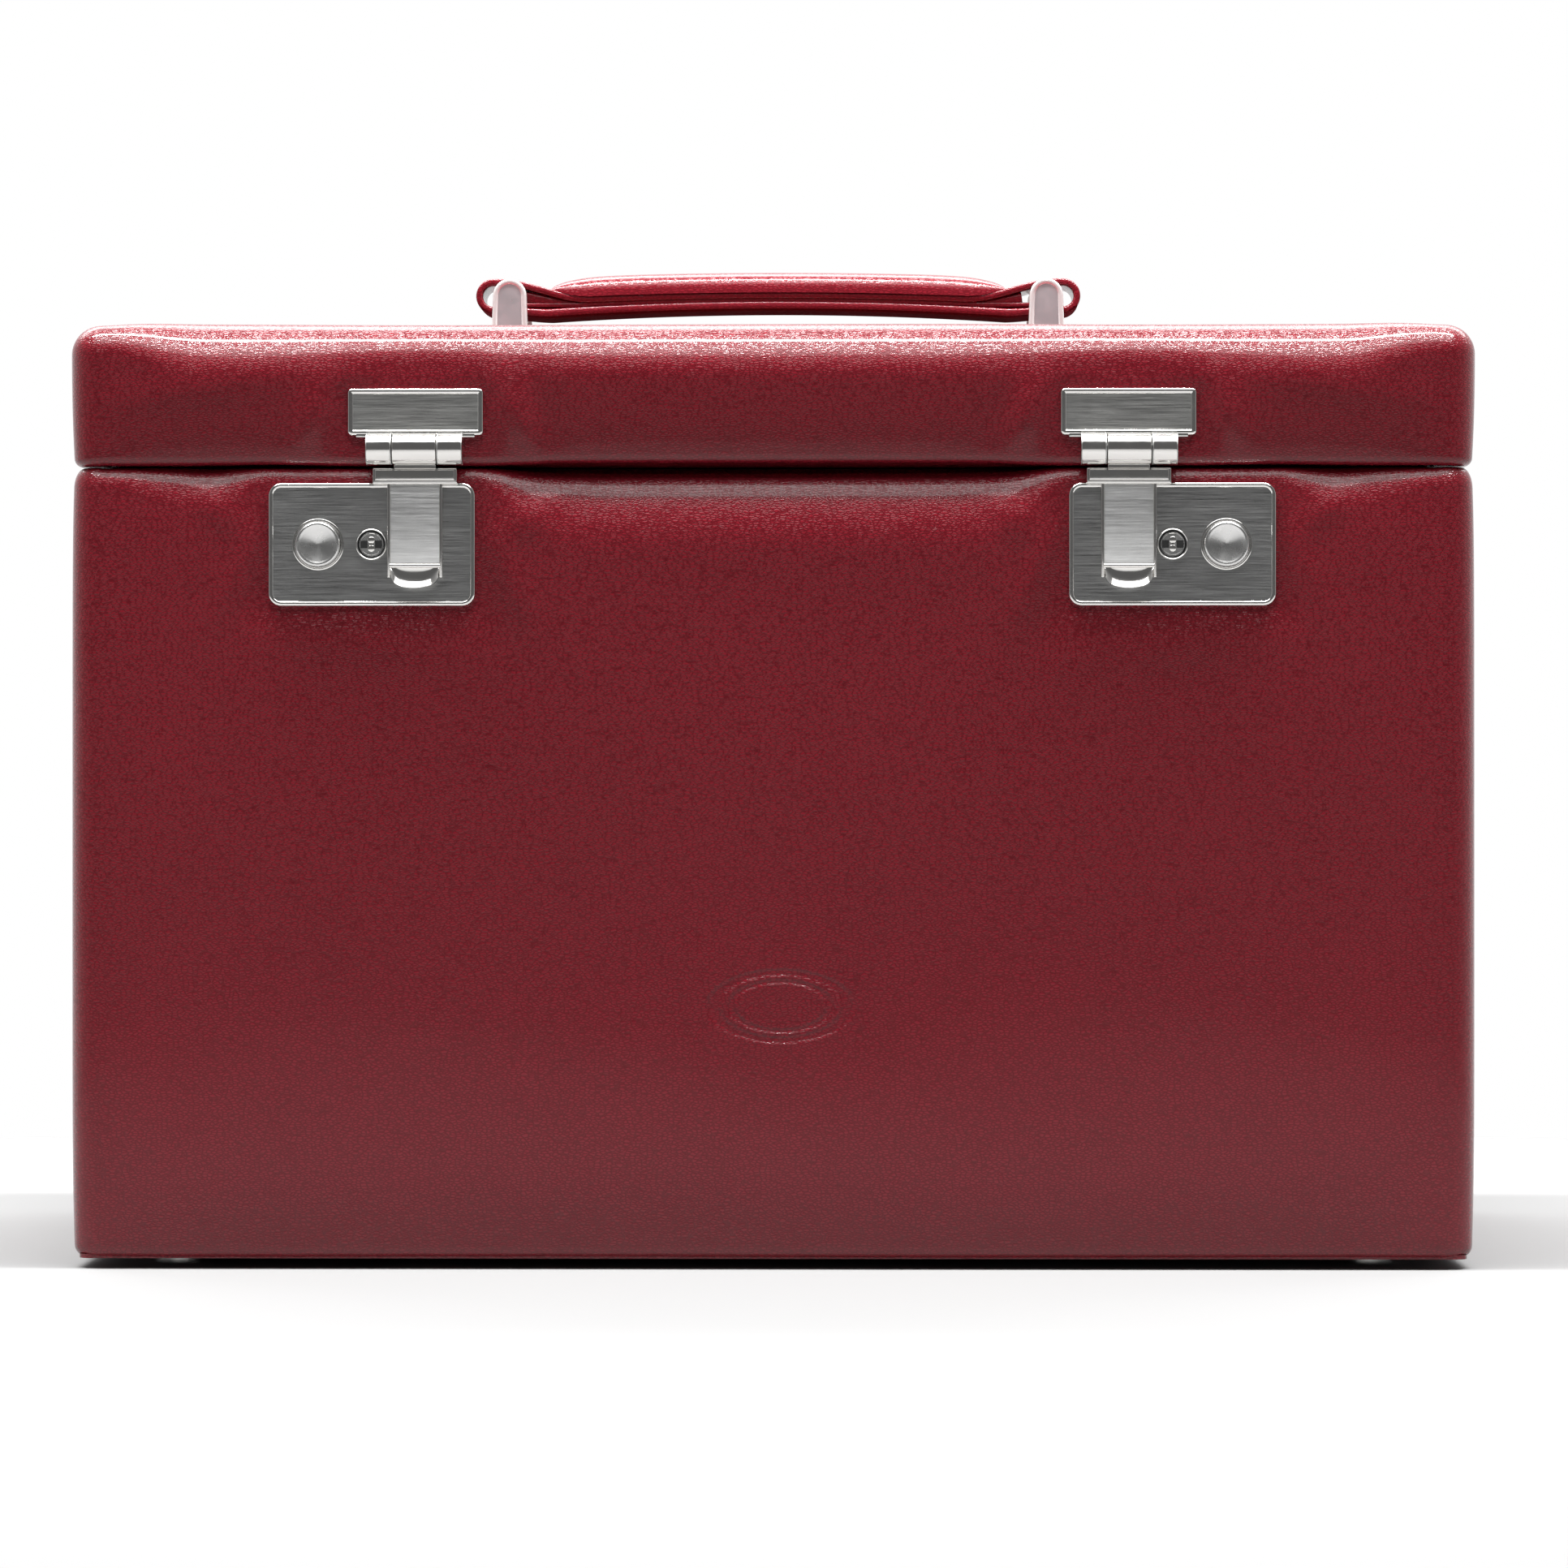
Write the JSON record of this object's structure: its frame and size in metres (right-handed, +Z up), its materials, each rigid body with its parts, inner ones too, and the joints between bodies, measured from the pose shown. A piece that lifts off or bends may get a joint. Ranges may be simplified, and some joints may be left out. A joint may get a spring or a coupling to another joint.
{
  "type": "jewellery case",
  "caption": "Padded leather jewellery case with a hinged lid, hasp locks with push buttons, a strap handle and trays that rise as the lid opens.",
  "frame": {"origin": "centre of the footprint, on the surface the case stands on", "axes": "+X to the right seen from the front, +Y towards the back hinge, +Z up"},
  "size_m": [0.34, 0.233, 0.2503],
  "materials": {
    "leather": "satin",
    "lining": "matte",
    "padding": "matte",
    "board": "matte",
    "brushed_nickel": "satin",
    "polished_nickel": "polished",
    "steel": "satin",
    "mirror": "gloss"
  },
  "bodies": {
    "case": {"base_bottom_board": "board", "base_front_board": "board", "base_back_board": "board", "base_left_board": "board", "base_right_board": "board", "base_padding": "padding", "base_cover": "leather", "base_bottom_cover": "leather", "base_lining": "lining", "feet": "polished_nickel", "compartment_divider": "lining", "hinge_leaf_base": "polished_nickel", "hinge_pin": "steel", "lock_plate_left": "brushed_nickel", "lock_plate_right": "brushed_nickel", "lock_case_left": "steel", "lock_case_right": "steel", "arm_pivots": "steel"},
    "lid": {"lid_top_board": "board", "lid_front_board": "board", "lid_back_board": "board", "lid_left_board": "board", "lid_right_board": "board", "lid_padding": "padding", "lid_cover": "leather", "lid_lining": "lining", "mirror_glass": "mirror", "mirror_frame": "lining", "hinge_leaf_lid": "polished_nickel", "catch_plate_left": "brushed_nickel", "catch_plate_right": "brushed_nickel", "hasp_pins": "steel", "bracket_left": "polished_nickel", "bracket_right": "polished_nickel", "bracket_screws": "steel", "handle_pins": "polished_nickel", "lid_pivots": "steel"},
    "hasp_l": {"hasp_left": "polished_nickel"},
    "hasp_r": {"hasp_right": "polished_nickel"},
    "button_l": {"button_left": "polished_nickel"},
    "button_r": {"button_right": "polished_nickel"},
    "key_l": {"key_left": "steel"},
    "key_r": {"key_right": "steel"},
    "bolt_l": {"bolt_left": "steel"},
    "bolt_r": {"bolt_right": "steel"},
    "grip": {"handle_core": "leather", "handle_pad": "leather"},
    "strap_l": {"handle_end_left": "leather"},
    "strap_r": {"handle_end_right": "leather"},
    "crank_l": {"crank_left": "steel"},
    "crank_r": {"crank_right": "steel"},
    "arm_l": {"front_arm_left": "steel"},
    "arm_r": {"front_arm_right": "steel"},
    "link_l": {"link_left": "steel"},
    "link_r": {"link_right": "steel"},
    "tray_up": {"upper_tray": "leather", "upper_dividers": "lining", "ring_rolls": "lining"},
    "tray_low": {"lower_tray": "leather", "lower_dividers": "lining"}
  },
  "joints": [
    {"name": "lid_hinge", "type": "hinge", "parent": "case", "child": "lid", "pos_m": [0, 0.1127, 0.1945], "axis": [-1, 0, 0], "range_deg": [0, 90]},
    {"name": "hasp_left_swing", "type": "hinge", "parent": "lid", "child": "hasp_l", "pos_m": [-0.0863, -0.11395, 0.1986], "axis": [-1, 0, 0], "range_deg": [0, 160]},
    {"name": "hasp_right_swing", "type": "hinge", "parent": "lid", "child": "hasp_r", "pos_m": [0.0863, -0.11395, 0.1986], "axis": [-1, 0, 0], "range_deg": [0, 160]},
    {"name": "button_left_press", "type": "slide", "parent": "case", "child": "button_l", "axis": [0, 1, 0], "range_m": [0, 0.0015], "stiffness_N_per_m": 400, "springref_m": -0.0005},
    {"name": "button_right_press", "type": "slide", "parent": "case", "child": "button_r", "axis": [0, 1, 0], "range_m": [0, 0.0015], "stiffness_N_per_m": 400, "springref_m": -0.0005},
    {"name": "bolt_left_draw", "type": "slide", "parent": "case", "child": "bolt_l", "axis": [-1, 0, 0], "range_m": [0, 0.003]},
    {"name": "bolt_right_draw", "type": "slide", "parent": "case", "child": "bolt_r", "axis": [1, 0, 0], "range_m": [0, 0.003]},
    {"name": "key_left_turn", "type": "hinge", "parent": "case", "child": "key_l", "pos_m": [-0.0969, -0.11, 0.1756], "axis": [0, 1, 0], "range_deg": [0, 90]},
    {"name": "key_right_turn", "type": "hinge", "parent": "case", "child": "key_r", "pos_m": [0.0969, -0.11, 0.1756], "axis": [0, 1, 0], "range_deg": [0, 90]},
    {"name": "handle_lift", "type": "slide", "parent": "lid", "child": "grip", "axis": [0, 0, 1], "range_m": [0, 0.012]},
    {"name": "strap_left_tilt", "type": "hinge", "parent": "grip", "child": "strap_l", "pos_m": [-0.035, 0, 0.2396], "axis": [0, -1, 0], "range_deg": [0, 18]},
    {"name": "strap_right_tilt", "type": "hinge", "parent": "grip", "child": "strap_r", "pos_m": [0.035, 0, 0.2396], "axis": [0, 1, 0], "range_deg": [0, 18]},
    {"name": "crank_left_turn", "type": "hinge", "parent": "case", "child": "crank_l", "pos_m": [-0.156, 0.065, 0.186], "axis": [-1, 0, 0], "range_deg": [0, 90]},
    {"name": "crank_right_turn", "type": "hinge", "parent": "case", "child": "crank_r", "pos_m": [0.156, 0.065, 0.186], "axis": [-1, 0, 0], "range_deg": [0, 90]},
    {"name": "front_arm_left_turn", "type": "hinge", "parent": "case", "child": "arm_l", "pos_m": [-0.156, -0.007, 0.186], "axis": [-1, 0, 0], "range_deg": [0, 90]},
    {"name": "front_arm_right_turn", "type": "hinge", "parent": "case", "child": "arm_r", "pos_m": [0.156, -0.007, 0.186], "axis": [-1, 0, 0], "range_deg": [0, 90]},
    {"name": "link_left_turn", "type": "hinge", "parent": "lid", "child": "link_l", "pos_m": [-0.154, 0.0717, 0.2035], "axis": [1, 0, 0], "range_deg": [0, 90]},
    {"name": "link_right_turn", "type": "hinge", "parent": "lid", "child": "link_r", "pos_m": [0.154, 0.0717, 0.2035], "axis": [1, 0, 0], "range_deg": [0, 90]},
    {"name": "upper_tray_turn", "type": "hinge", "parent": "crank_r", "child": "tray_up", "pos_m": [0.156, 0.01304, 0.156], "axis": [1, 0, 0], "range_deg": [0, 90]},
    {"name": "lower_tray_turn", "type": "hinge", "parent": "crank_r", "child": "tray_low", "pos_m": [0.156, 0.03902, 0.171], "axis": [1, 0, 0], "range_deg": [0, 90]}
  ],
  "couplings": [
    {"joint": "crank_left_turn", "follows": "lid_hinge", "ratio": 1},
    {"joint": "crank_right_turn", "follows": "lid_hinge", "ratio": 1},
    {"joint": "front_arm_left_turn", "follows": "lid_hinge", "ratio": 1},
    {"joint": "front_arm_right_turn", "follows": "lid_hinge", "ratio": 1},
    {"joint": "link_left_turn", "follows": "lid_hinge", "ratio": 1},
    {"joint": "link_right_turn", "follows": "lid_hinge", "ratio": 1},
    {"joint": "upper_tray_turn", "follows": "lid_hinge", "ratio": 1},
    {"joint": "lower_tray_turn", "follows": "lid_hinge", "ratio": 1},
    {"joint": "bolt_left_draw", "follows": "button_left_press", "ratio": 2},
    {"joint": "bolt_right_draw", "follows": "button_right_press", "ratio": 2},
    {"joint": "strap_left_tilt", "follows": "handle_lift", "rad_per_m": 26.17},
    {"joint": "strap_right_tilt", "follows": "handle_lift", "rad_per_m": 26.17}
  ]
}
